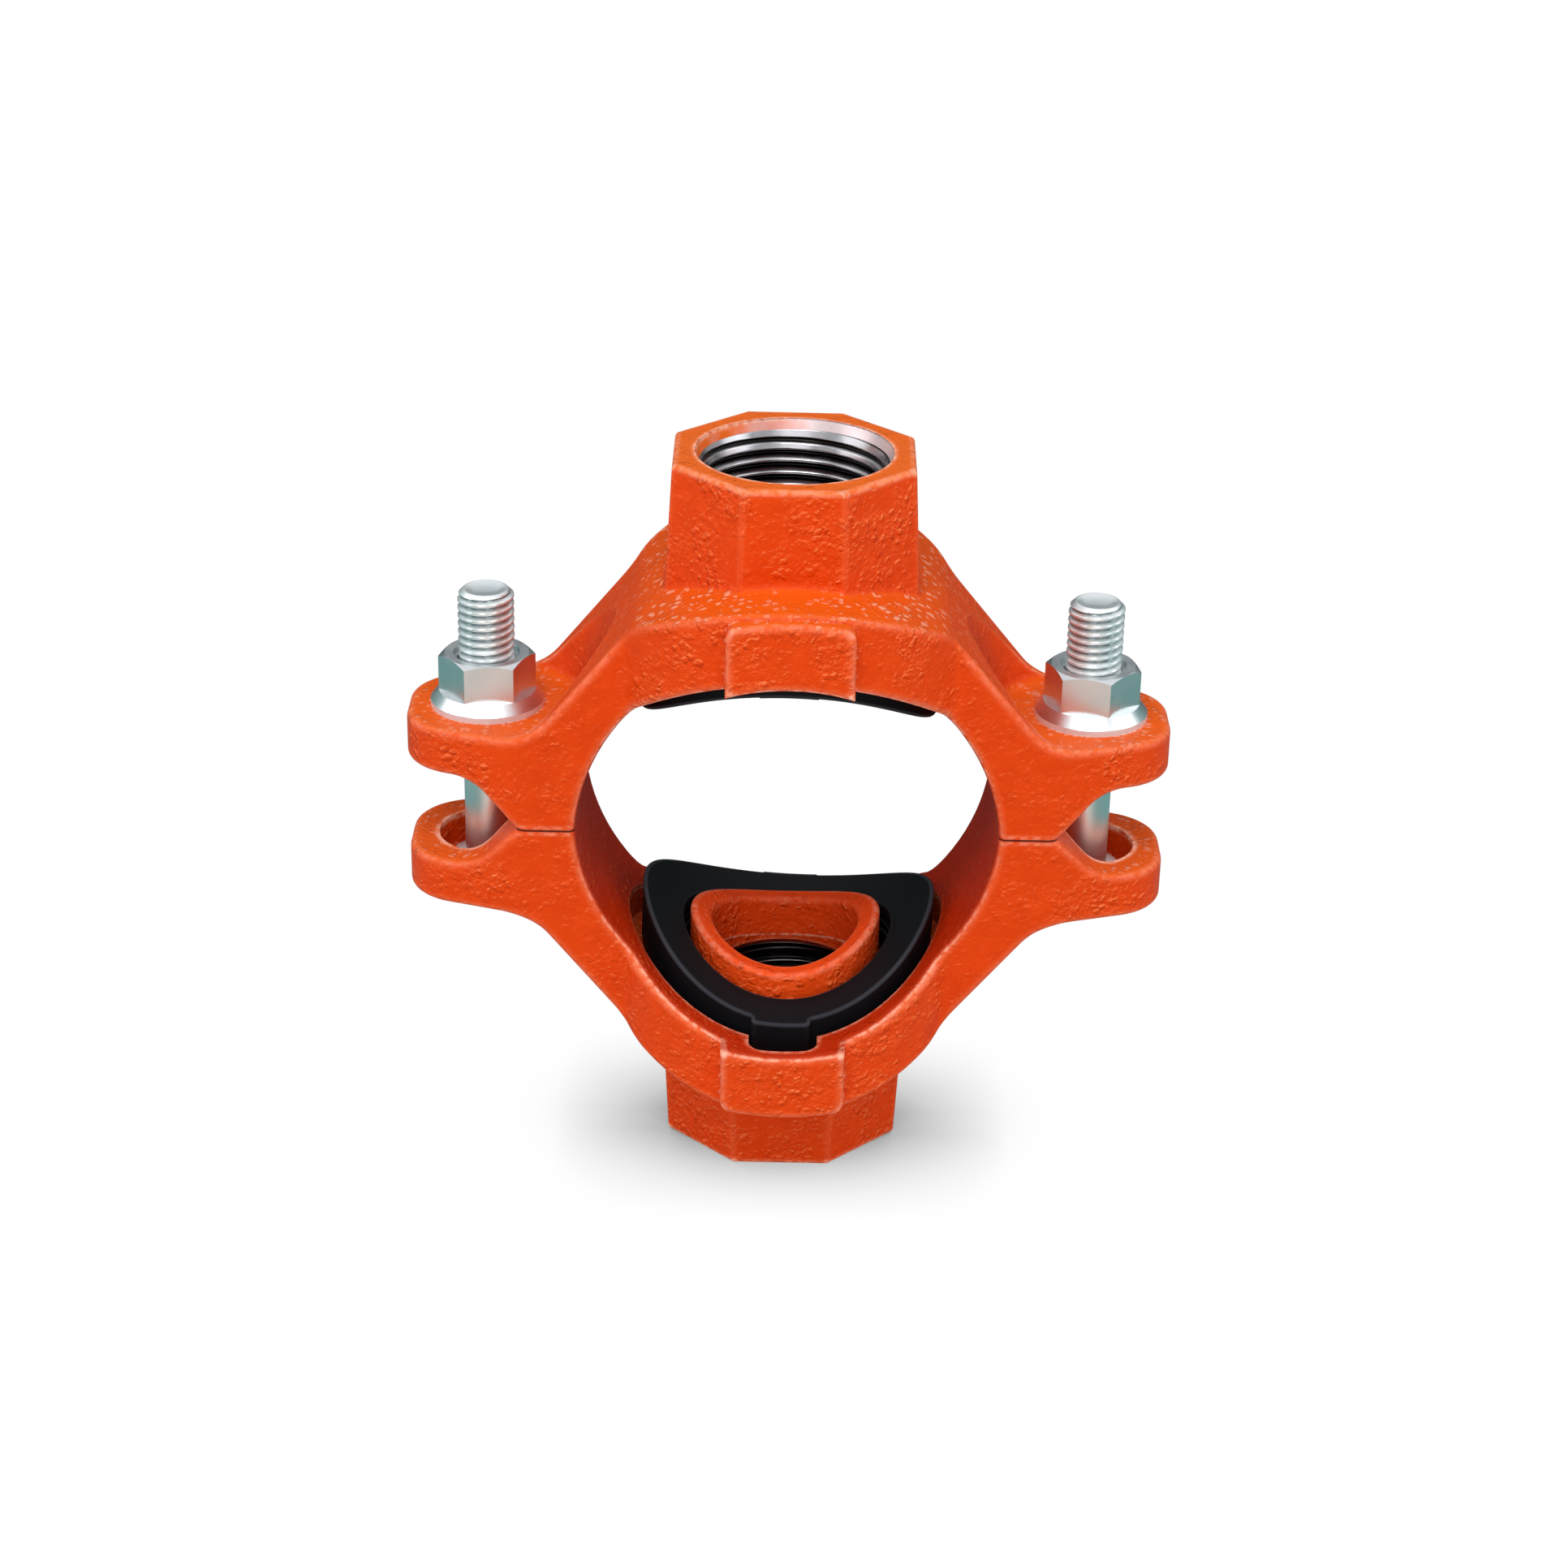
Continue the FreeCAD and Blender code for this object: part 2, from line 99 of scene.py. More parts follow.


# Painted cast iron: orange-red paint on a sand-cast skin. The sand leaves dense low pimples about 1 mm wide
# on the boss, the lugs and the hub, and few along the arms. Their upper sides get a painted highlight, and
# their undersides a painted shade.
paint_main = linear("#E2460E")
paint_deep = linear("#CF3A08")
paint_upward_sheen = linear("#E65A10")
paint_end_sheen = linear("#E4641A")
paint_highlight_and_worn = linear("#F68552")
paint_pimple_shade = linear("#AE2E06")
pale_paint_and_glint = linear("#FFB79A")
paint_seat_shade = linear("#BA2C0A")
paint_collar_lit = linear("#F24C14")
joint_gap_shade = linear("#3A0F06")
pimple_spacing = 1.4 * MM
pimple_height = 0.22 * MM
swell_size = 3.2 * MM
swell_height = 0.22 * MM
grain_size = 0.85 * MM
grain_height = 0.32 * MM
patch_size = 9 * MM
edge_width = 1.4 * MM
crease_width = 0.8 * MM
joint_width = 0.17 * MM
hub_ends = 24 * MM
lug_starts = 46 * MM
boss_starts = 49 * MM
arm_grit = 0.45
seat_radius = 37.7 * MM
seat_offset = 2.5 * MM
collar_radius = 22 * MM
fleck_size = 1.3 * MM
ragged_size = 5 * MM
lit_from = (-0.35, -0.2, 0.92)  # the side from which the pimples get their painted highlight

painted_iron, tree, place = new_material("orange_gloss_paint_on_sand_cast_iron")
axes = add(tree, "SeparateXYZ", {0: place}).outputs
off_centre = add(tree, "Math", {0: axes["X"]}, operation="ABSOLUTE").outputs[0]
height = add(tree, "Math", {0: axes["Z"]}, operation="ABSOLUTE").outputs[0]
normal = add(tree, "TexCoord").outputs["Normal"]

# How rough the skin is: all of it on the hub, the lugs and the boss, and a share of it along the arms.
inner_arm = add(tree, "MapRange", {0: off_centre, 1: hub_ends, 2: hub_ends + 8 * MM, 3: 1.0, 4: arm_grit})
outer_arm = add(tree, "MapRange", {0: off_centre, 1: lug_starts, 2: lug_starts + 6 * MM, 3: arm_grit, 4: 1.0})
on_boss = add(tree, "MapRange", {0: height, 1: boss_starts - 2 * MM, 2: boss_starts})
along_arm = add(tree, "Math", {0: inner_arm.outputs[0], 1: outer_arm.outputs[0]}, operation="MAXIMUM")
rough_area = add(tree, "Math", {0: along_arm.outputs[0], 1: on_boss.outputs[0]}, operation="MAXIMUM")
lying = add(tree, "SeparateXYZ", {0: normal}).outputs["Z"]
upward = add(tree, "MapRange", {0: lying, 1: 0.5, 2: 1.0})

# The pimples are domes on the cells of a Voronoi pattern that noise bends, each with its own size of dome.
patches = add(tree, "TexNoise", {"Vector": place, "Scale": 1 / patch_size, "Detail": 2.0})
patchy = add(tree, "MapRange", {0: patches.outputs[0], 1: 0.42, 2: 0.58, 3: 0.35, 4: 1.0})
roughened = add(tree, "Math", {0: rough_area.outputs[0], 1: patchy.outputs[0]}, operation="MULTIPLY")
wander = add(tree, "TexNoise", {"Vector": place, "Scale": 0.6 / pimple_spacing, "Detail": 2.0})
shifted = add(tree, "VectorMath", {0: wander.outputs["Color"], 3: 1.7 * pimple_spacing},
              operation="SCALE")
bent = add(tree, "VectorMath", {0: place, 1: shifted.outputs[0]}, operation="ADD")
cells = add(tree, "TexVoronoi", {"Vector": bent.outputs[0], "Scale": 1 / pimple_spacing})
chance = add(tree, "SeparateXYZ", {0: cells.outputs["Color"]}).outputs
dome_radius = add(tree, "MapRange", {0: chance["X"], 1: 0.0, 2: 1.0, 3: 0.2, 4: 0.75})
inward = add(tree, "Math", {0: dome_radius.outputs[0], 1: cells.outputs["Distance"]}, operation="SUBTRACT")
domes = add(tree, "MapRange", {0: inward.outputs[0], 1: 0.0, 2: 0.5, 3: 0.0, 4: 1.0},
            interpolation_type="SMOOTHSTEP")
grain = add(tree, "TexNoise", {"Vector": place, "Scale": 1 / grain_size, "Detail": 2.0, "Roughness": 0.5})
swell = add(tree, "TexNoise", {"Vector": place, "Scale": 1 / swell_size, "Detail": 3.0})
grains = add(tree, "Math", {0: grain.outputs[0], 1: grain_height / MM}, operation="MULTIPLY")
pimples = add(tree, "Math", {0: domes.outputs[0], 1: pimple_height / MM, 2: grains.outputs[0]},
              operation="MULTIPLY_ADD")
pimpled = add(tree, "Math", {0: pimples.outputs[0], 1: roughened.outputs[0]}, operation="MULTIPLY")
relief = add(tree, "Math", {0: swell.outputs[0], 1: swell_height / MM, 2: pimpled.outputs[0]},
             operation="MULTIPLY_ADD")

# The turned chamfer is smooth. It is bare round the back and right of each mouth, and painted on its left.
mouth_radius = 17.35 * MM
mouth_depth = 2.6 * MM
flat_place = add(tree, "VectorMath", {0: place, 1: (1.0, 1.0, 0.0)}, operation="MULTIPLY")
from_axis = add(tree, "VectorMath", {0: flat_place.outputs[0]}, operation="LENGTH")
in_mouth = add(tree, "MapRange", {
    0: from_axis.outputs["Value"],
    1: mouth_radius,
    2: mouth_radius - 0.15 * MM,
})
mouth_foot = cad_box[1].z - mouth_depth
near_end = add(tree, "MapRange", {0: height, 1: mouth_foot, 2: mouth_foot + 0.2 * MM})
turned = add(tree, "Math", {0: in_mouth.outputs[0], 1: near_end.outputs[0]}, operation="MULTIPLY")
cast_skin = add(tree, "Math", {0: 1.0, 1: turned.outputs[0]}, operation="SUBTRACT")
skin = add(tree, "Math", {0: relief.outputs[0], 1: cast_skin.outputs[0]}, operation="MULTIPLY")
bump = add(tree, "Bump", {"Strength": 1.0, "Distance": MM, "Height": skin.outputs[0]})

# Colour of the paint by where a face lies. Faces that look up are lighter and more orange, and the outlets'
# ends and chamfers paler still: a painted sheen of the light from above. In the pipe's seat the paint is
# duller and redder, a painted shade, and round the collar brighter, a painted light.
on_end = add(tree, "MapRange", {0: height, 1: cad_box[1].z - 0.9 * MM, 2: cad_box[1].z - 0.2 * MM})
from_plane = add(tree, "Math", {0: height, 1: seat_offset}, operation="ADD")
across = add(tree, "CombineXYZ", {0: axes["X"], 1: from_plane.outputs[0]})
from_run = add(tree, "VectorMath", {0: across.outputs[0]}, operation="LENGTH").outputs["Value"]
in_bore = add(tree, "MapRange", {0: from_run, 1: seat_radius + 0.5 * MM, 2: seat_radius + 0.1 * MM})
out_of_seat = add(tree, "Math", {0: 1.0, 1: in_bore.outputs[0]}, operation="SUBTRACT")
off_collar = add(tree, "MapRange", {
    0: from_axis.outputs["Value"],
    1: collar_radius,
    2: collar_radius + 4 * MM,
})
in_seat = add(tree, "Math", {0: in_bore.outputs[0], 1: off_collar.outputs[0]}, operation="MULTIPLY")
# Painted sheen: faces that look up, outside the seat, take a lighter and more orange paint.
upward_sheen_mask = add(tree, "Math", {0: upward.outputs[0], 1: out_of_seat.outputs[0]}, operation="MULTIPLY")
tint = add(tree, "MixRGB", {0: swell.outputs[0], 1: paint_deep, 2: paint_main})
tint = add(tree, "MixRGB", {0: upward_sheen_mask.outputs[0], 1: tint.outputs[0], 2: paint_upward_sheen})
# Painted sheen: the outlets' ends and the painted part of each chamfer are paler.
end_sheen = add(tree, "Math", {0: on_end.outputs[0], 1: turned.outputs[0]}, operation="MAXIMUM")
tint = add(tree, "MixRGB", {0: end_sheen.outputs[0], 1: tint.outputs[0], 2: paint_end_sheen})
# Painted light: in the bore, round the collar, the paint is brighter than outside it.
tint = add(tree, "MixRGB", {0: in_bore.outputs[0], 1: tint.outputs[0], 2: paint_collar_lit})
# Painted shade: in the pipe's seat, away from the collar, the paint is darker and redder.
tint = add(tree, "MixRGB", {0: in_seat.outputs[0], 1: tint.outputs[0], 2: paint_seat_shade})

# A painted highlight on the upper sides of the pimples and a painted shade under them, by how far the relief
# tips the surface towards the light. On the hub's top, the tips of the pimples get a paler painted glint
# still.
tipped = add(tree, "VectorMath", {0: bump.outputs[0], 1: normal}, operation="SUBTRACT")
tilt = add(tree, "VectorMath", {0: tipped.outputs[0], 1: lit_from}, operation="DOT_PRODUCT")
pimple_highlight = add(tree, "MapRange", {0: tilt.outputs["Value"], 1: 0.04, 2: 0.5, 3: 0.0, 4: 0.7})
pimple_shade = add(tree, "MapRange", {0: tilt.outputs["Value"], 1: -0.1, 2: -0.6, 3: 0.0, 4: 0.35})
tint = add(tree, "MixRGB", {0: pimple_shade.outputs[0], 1: tint.outputs[0], 2: paint_pimple_shade})
tint = add(tree, "MixRGB", {0: pimple_highlight.outputs[0], 1: tint.outputs[0], 2: paint_highlight_and_worn})
on_hub = add(tree, "Math", {0: inner_arm.outputs[0], 1: on_boss.outputs[0]},
             operation="SUBTRACT", use_clamp=True)
top_of_hub = add(tree, "Math", {0: on_hub.outputs[0], 1: upward_sheen_mask.outputs[0]}, operation="MULTIPLY")
# Painted glint: the tips of the pimples on the hub's top, where it faces up, are paler.
hub_pimple_glints = add(tree, "MapRange", {0: domes.outputs[0], 1: 0.2, 2: 0.75, 3: 0.0, 4: 0.7})
hub_pimple_glints = add(tree, "Math", {0: hub_pimple_glints.outputs[0], 1: top_of_hub.outputs[0]}, operation="MULTIPLY")
tint = add(tree, "MixRGB", {0: hub_pimple_glints.outputs[0], 1: tint.outputs[0], 2: pale_paint_and_glint})

# Convex edges are pale: a soft band, with a thin broken line on the sharpest part of it, and a line along the
# seat's edge; they are partly rubbed paint and partly a painted highlight. Beads of pale paint lie in the
# creases. Where the halves meet, the edge keeps its paint.
flecks = add(tree, "TexNoise", {"Vector": place, "Scale": 1 / fleck_size, "Detail": 2.0})
convex = add(tree, "AmbientOcclusion", {"Distance": edge_width}, inside=True, samples=24)
band = add(tree, "MapRange", {0: convex.outputs["AO"], 1: 1.0, 2: 0.88, 3: 0.0, 4: 0.22})
line = add(tree, "MapRange", {0: convex.outputs["AO"], 1: 0.9, 2: 0.76})
broken = add(tree, "MapRange", {0: flecks.outputs[0], 1: 0.36, 2: 0.58, 3: 0.1, 4: 1.0})
off_joint = add(tree, "MapRange", {0: height, 1: 0.4 * MM, 2: 1.5 * MM, 3: 0.2, 4: 1.0})
from_edge = add(tree, "Math", {0: from_run, 1: seat_radius + 0.4 * MM}, operation="SUBTRACT")
from_edge = add(tree, "Math", {0: from_edge.outputs[0]}, operation="ABSOLUTE")
seat_line = add(tree, "MapRange", {0: from_edge.outputs[0], 1: 0.3 * MM, 2: 0.1 * MM, 3: 0.0, 4: 0.7})
low_down = add(tree, "MapRange", {0: height, 1: 6 * MM, 2: 24 * MM, 3: 0.2, 4: 1.0})
seat_line = add(tree, "Math", {0: seat_line.outputs[0], 1: low_down.outputs[0]}, operation="MULTIPLY")
outside = add(tree, "MapRange", {0: in_bore.outputs[0], 3: 1.0, 4: 0.4})
line = add(tree, "Math", {0: line.outputs[0], 1: outside.outputs[0]}, operation="MULTIPLY")
line = add(tree, "Math", {0: line.outputs[0], 1: seat_line.outputs[0]}, operation="MAXIMUM")
line = add(tree, "Math", {0: line.outputs[0], 1: broken.outputs[0]}, operation="MULTIPLY")
line = add(tree, "Math", {0: line.outputs[0], 1: off_joint.outputs[0]}, operation="MULTIPLY")
band = add(tree, "Math", {0: band.outputs[0], 1: off_joint.outputs[0]}, operation="MULTIPLY")
band = add(tree, "Math", {0: band.outputs[0], 1: outside.outputs[0]}, operation="MULTIPLY")
tint = add(tree, "MixRGB", {0: band.outputs[0], 1: tint.outputs[0], 2: paint_highlight_and_worn})
tint = add(tree, "MixRGB", {0: line.outputs[0], 1: tint.outputs[0], 2: pale_paint_and_glint})
crease = add(tree, "AmbientOcclusion", {"Distance": crease_width}, samples=8)
creased = add(tree, "MapRange", {0: crease.outputs["AO"], 1: 0.9, 2: 0.6})
beads = add(tree, "MapRange", {0: grain.outputs[0], 1: 0.52, 2: 0.6, 3: 0.0, 4: 0.8})
beaded = add(tree, "Math", {0: creased.outputs[0], 1: beads.outputs[0]}, operation="MULTIPLY")
beaded = add(tree, "Math", {0: beaded.outputs[0], 1: out_of_seat.outputs[0]}, operation="MULTIPLY")
tint = add(tree, "MixRGB", {0: beaded.outputs[0], 1: tint.outputs[0], 2: pale_paint_and_glint})

# A dark line on the faces beside the joint is a painted shade of the gap between the halves. It is not on the
# mating faces themselves, which keep their paint.
at_joint = add(tree, "MapRange", {0: height, 1: joint_width, 2: 1.4 * joint_width, 3: 0.9, 4: 0.0})
level = add(tree, "Math", {0: lying}, operation="ABSOLUTE")
on_side = add(tree, "MapRange", {0: level.outputs[0], 1: 0.95, 2: 0.85})
painted_joint_shade = add(tree, "Math", {0: at_joint.outputs[0], 1: on_side.outputs[0]}, operation="MULTIPLY")
tint = add(tree, "MixRGB", {0: painted_joint_shade.outputs[0], 1: tint.outputs[0], 2: joint_gap_shade})

# Bare iron on the chamfer, from the mouth's middle to its right, with a ragged edge where the paint ends.
kept_paint = add(tree, "TexNoise", {"Vector": place, "Scale": 1 / ragged_size, "Detail": 3.0})
rightward = add(tree, "Math", {0: axes["X"], 1: 45.0, 2: kept_paint.outputs[0]}, operation="MULTIPLY_ADD")
paint_gone = add(tree, "MapRange", {0: rightward.outputs[0], 1: -0.1, 2: 0.75})
bare = add(tree, "Math", {0: turned.outputs[0], 1: paint_gone.outputs[0]}, operation="MULTIPLY")
colour = add(tree, "MixRGB", {0: bare.outputs[0], 1: tint.outputs[0], 2: linear("#DCC9CB")})
metal = add(tree, "Math", {0: bare.outputs[0], 1: 0.6}, operation="MULTIPLY")
gloss = add(tree, "MapRange", {0: grain.outputs[0], 1: 0.3, 2: 0.7, 3: 0.3, 4: 0.42})
shine = add(tree, "MapRange", {0: in_bore.outputs[0], 3: 0.08, 4: 0.02})
surface = add(tree, "BsdfPrincipled", {
    "Base Color": colour.outputs[0],
    "Metallic": metal.outputs[0],
    "Roughness": gloss.outputs[0],
    "Specular IOR Level": shine.outputs[0],
    "Specular Tint": linear("#FFE0BC"),
    "Normal": bump.outputs[0],
})
add(tree, "OutputMaterial", {"Surface": surface.outputs[0]})

for name in ("upper_housing", "lower_housing"):
    frame["nodes"][name].data.materials.clear()
    frame["nodes"][name].data.materials.append(painted_iron)


# Outlet threads
# Each outlet is tapped after painting with a taper pipe thread of 11 turns to the inch, bare and bright from
# the tap. Its crests and roots are rounded, and its last turns fade out where the tap's lead cut.

def closed_rings(name, rings, looped=False):
    """Mesh from rings of points, shape (rings, points, 3). Open stacks are closed with a fan at each end."""
    count, around = rings.shape[:2]
    points = rings.reshape(-1, 3)
    row = np.arange(count if looped else count - 1)[:, None]
    column = np.arange(around)[None, :]
    low = row * around
    high = (row + 1) % count * around
    after = (column + 1) % around
    corners = np.broadcast_arrays(low + column, low + after, high + after, high + column)
    faces = np.stack(corners, -1).reshape(-1, 4).tolist()
    if not looped:
        points = np.vstack([points, rings[0].mean(0), rings[-1].mean(0)])
        first, last = len(points) - 2, len(points) - 1
        top = (count - 1) * around
        faces += [[first, (i + 1) % around, i] for i in range(around)]
        faces += [[last, top + i, top + (i + 1) % around] for i in range(around)]
    mesh = bpy.data.meshes.new(name)
    mesh.from_pydata(points.tolist(), [], faces)
    mesh.shade_smooth()
    made = bpy.data.objects.new(name, mesh)
    bpy.context.scene.collection.objects.link(made)
    return made


def turned_rings(profile, around):
    """Rings of a turned surface: radius(angle, step) and height(step) give x = r cos a, y = r sin a, z."""
    radius, height = profile
    angle = np.linspace(0, 2 * np.pi, around, endpoint=False)
    radius = np.broadcast_to(radius, (len(height), around))
    height = np.broadcast_to(height[:, None], radius.shape)
    return np.stack([radius * np.cos(angle), radius * np.sin(angle), height], -1)


# Bare tapped iron: freshly cut metal, smooth and bright on the crests. A painted shade keeps the roots almost
# black.
tap_mark_size = 2.5 * MM
tapped_iron, tree, place = new_material("bare_tapped_iron")
marks = add(tree, "TexNoise", {"Vector": place, "Scale": 1 / tap_mark_size, "Detail": 2.0})
sheen = add(tree, "MapRange", {0: marks.outputs[0], 1: 0.3, 2: 0.7, 3: 0.2, 4: 0.28})
cut = add(tree, "MixRGB", {0: marks.outputs[0], 1: linear("#949194"), 2: linear("#B9B8BC")})
depth = add(tree, "Attribute", {}, attribute_name="root_depth").outputs["Fac"]
root_shade = add(tree, "MapRange", {0: depth, 1: 0.5, 2: 0.8})
root_shaded = add(tree, "MixRGB", {0: root_shade.outputs[0], 1: cut.outputs[0], 2: linear("#221E1E")})
surface = add(tree, "BsdfPrincipled", {
    "Base Color": root_shaded.outputs[0],
    "Metallic": 1.0,
    "Roughness": sheen.outputs[0],
})
add(tree, "OutputMaterial", {"Surface": surface.outputs[0]})

pipe_pitch = 25.4 / 11 * MM
pipe_thread_depth = 0.64 * pipe_pitch
pipe_taper = 1 / 32  # of the radius, along the axis
drill_radius = 14.9 * MM
runout = 7.6 * MM
mouth_slope = 0.65 / 1.9  # of the turned chamfer, which cuts the first crests short
play = 0.02 * MM  # from the wall, so that no two faces lie in one place


def thread_liner(name, wall, mouth, full, side, crest_shade):
    """Skin of a tapped bore, from its chamfer down to the drilled hole, with a plain back inside the wall.

    The radius is that of the roots, which tapers, less the thread's depth times a cosine wave of the helix
    angle. It is never less than the drilled hole's, nor than the chamfer's cone. Past the full thread, the
    roots go in along a cone to the drilled hole. The last argument is the least root_depth, a painted shade
    that darkens the crests too.
    """
    around = 144
    rows_per_turn = 16
    depth_cut = full + runout
    angle = np.linspace(0, 2 * np.pi, around, endpoint=False)
    down = np.linspace(0, depth_cut, int(rows_per_turn * depth_cut / pipe_pitch) + 1)[:, None]
    turn = down / pipe_pitch + angle / (2 * np.pi)
    wave = 0.5 - 0.5 * np.cos(2 * np.pi * turn)
    fading = np.clip((down - full) / runout, 0, 1)
    cone = wall + (drill_radius - wall) * fading - play
    root = np.minimum(wall - 2 * play - down * pipe_taper, cone - play)
    chamfer = wall - 2 * play - down * mouth_slope
    inner = np.maximum(root - pipe_thread_depth * wave, drill_radius - 4 * play)
    inner = np.minimum(np.maximum(inner, chamfer), root)
    heights = np.concatenate([mouth - down[:, 0], mouth - down[::-1, 0]])
    radii = np.concatenate([inner, np.broadcast_to(cone, inner.shape)[::-1]])
    rings = turned_rings((radii, heights), around)
    rings[..., 2] *= side
    if side > 0:
        rings = rings[:, ::-1]
    made = closed_rings(name, rings, looped=True)
    depth = np.stack([np.maximum(1 - wave, crest_shade), np.ones_like(wave)[::-1]])
    if side > 0:
        depth = depth[..., ::-1]
    stored = made.data.attributes.new("root_depth", "FLOAT", "POINT")
    stored.data.foreach_set("value", depth.ravel())
    return made


# The lower outlet's thread lies in shade, so its crests take a painted shade too.
for body, side, crest_shade in (("upper_half", 1, 0.0), ("lower_half", -1, 0.75)):
    mounts = frame["record"]["mounts"]
    bore = next(m for m in mounts if m["name"] == body.replace("half", "outlet"))
    full = bore["dims"]["length_mm"] * MM
    mouth = bore["pos_m"][2] * side + full / 2
    liner = thread_liner(body + "_outlet_thread", bore["dims"]["r_mm"] * MM, mouth, full, side, crest_shade)
    liner.data.materials.append(tapped_iron)
    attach(liner, body)


# Saddle gaskets
# Moulded rubber rings with a saddle-shaped top, which seal on the run pipe round the hole in it. Each is laid
# loose in its housing's recess, with a tab in the notch at the front and at the rear.

# Matt black moulded rubber: hardly any gloss, faint clouds of dust, and a greyish line along the sharp edges
# from the mould, partly where they are rubbed and partly a painted highlight.
dust_size = 9 * MM
pore_size = 0.5 * MM
edge_line_width = 0.8 * MM
moulded_rubber, tree, place = new_material("matt_black_moulded_rubber")
dust = add(tree, "TexNoise", {"Vector": place, "Scale": 1 / dust_size, "Detail": 4.0})
pores = add(tree, "TexNoise", {"Vector": place, "Scale": 1 / pore_size, "Detail": 2.0})
convex = add(tree, "AmbientOcclusion", {"Distance": edge_line_width}, inside=True, samples=24)
rubbed_and_lit = add(tree, "MapRange", {0: convex.outputs["AO"], 1: 0.95, 2: 0.82, 3: 0.0, 4: 0.8})
black = add(tree, "MixRGB", {0: dust.outputs[0], 1: linear("#06070A"), 2: linear("#0B0D13")})
edged = add(tree, "MixRGB", {0: rubbed_and_lit.outputs[0], 1: black.outputs[0], 2: linear("#383A41")})
bump = add(tree, "Bump", {"Strength": 0.5, "Distance": 0.05 * MM, "Height": pores.outputs[0]})
surface = add(tree, "BsdfPrincipled", {
    "Base Color": edged.outputs[0],
    "Roughness": 0.6,
    "Specular IOR Level": 0.12,
    "Normal": bump.outputs[0],
})
add(tree, "OutputMaterial", {"Surface": surface.outputs[0]})
for name in ("upper_gasket", "lower_gasket"):
    frame["nodes"][name].data.materials.clear()
    frame["nodes"][name].data.materials.append(moulded_rubber)


# Track bolts
# Cold-headed steel, zinc-plated: a domed head, an oval neck that the casting holds, a thin shank and a rolled
# M10 thread. The lower half carries both bolts.

# Blue passivated zinc on steel: a bright satin metal with hardly a colour of its own, which mirrors what is
# near it. On the bolts, the film is milky along the thread, and its roots and the dished tip are darker and
# bluish, a painted shade. On the nuts, the rim of the flange is rubbed matt.
film_size = 6 * MM


def zinc(name, dark, light, roughness, milky):
    """Zinc plate between two tints, darkened by a painted shade where the mesh stores root_depth.

    Milky gives two heights, and the share of mirrored light below the first and above the second.
    """
    made, tree, place = new_material(name)
    film = add(tree, "TexNoise", {"Vector": place, "Scale": 1 / film_size, "Detail": 2.0})
    tint = add(tree, "MixRGB", {0: film.outputs[0], 1: linear(dark), 2: linear(light)})
    depth = add(tree, "Attribute", {}, attribute_name="root_depth").outputs["Fac"]
    shaded_zinc = add(tree, "MixRGB", {0: depth, 1: tint.outputs[0], 2: linear("#76858B")})
    sheen = add(tree, "MapRange", {0: film.outputs[0], 1: 0.35, 2: 0.65, 3: roughness[0], 4: roughness[1]})
    height = add(tree, "SeparateXYZ", {0: place}).outputs["Z"]
    mirrored = add(tree, "MapRange", {0: height, 1: milky[0], 2: milky[1], 3: milky[2], 4: milky[3]})
    surface = add(tree, "BsdfPrincipled", {
        "Base Color": shaded_zinc.outputs[0],
        "Metallic": mirrored.outputs[0],
        "Roughness": sheen.outputs[0],
    })
    add(tree, "OutputMaterial", {"Surface": surface.outputs[0]})
    return made


thread_foot = 12 * MM
flange_rim = frame["nodes"]["left_nut"].bound_box[0][2] + 1.0 * MM
rolled_zinc = zinc("blue_passivated_zinc_on_rolled_steel", "#DDE8EC", "#F6F7F6", (0.3, 0.38),
                   (thread_foot, thread_foot + 3 * MM, 0.97, 0.72))
zinc_plate = zinc("blue_passivated_zinc_on_formed_steel", "#CFD8DC", "#E8E6E6", (0.26, 0.34),
                  (flange_rim, flange_rim + 0.15 * MM, 0.3, 0.95))

bolt_pitch = 1.5 * MM
bolt_thread_depth = 0.8 * MM
bolt_radius = 5.0 * MM
bolt_thread = 27.0 * MM
shank_radius = 4.5 * MM
head_height = 5.6 * MM
head_rim = 1.4 * MM
rim_rounding = 0.4 * MM
neck_length = 13.6 * MM
neck_width = 10.6 * MM
neck_height = 4.5 * MM
neck_rounding = 0.3 * MM
tip_flat = 3.95 * MM
tip_cone = 1.0 * MM
dish_radius = 3.7 * MM
dish_depth = 1.0 * MM


def oval_radius(angle, length, width):
    """Distance from the middle of a round-ended oval, long along x, to its edge at each angle."""
    half = width / 2
    straight = (length - width) / 2
    along, across = np.abs(np.cos(angle)), np.abs(np.sin(angle))
    flat = half / np.maximum(across, 1e-6)
    rounded = straight * along + np.sqrt(np.maximum(half ** 2 - (straight * across) ** 2, 0))
    return np.where(flat * along <= straight, flat, rounded)


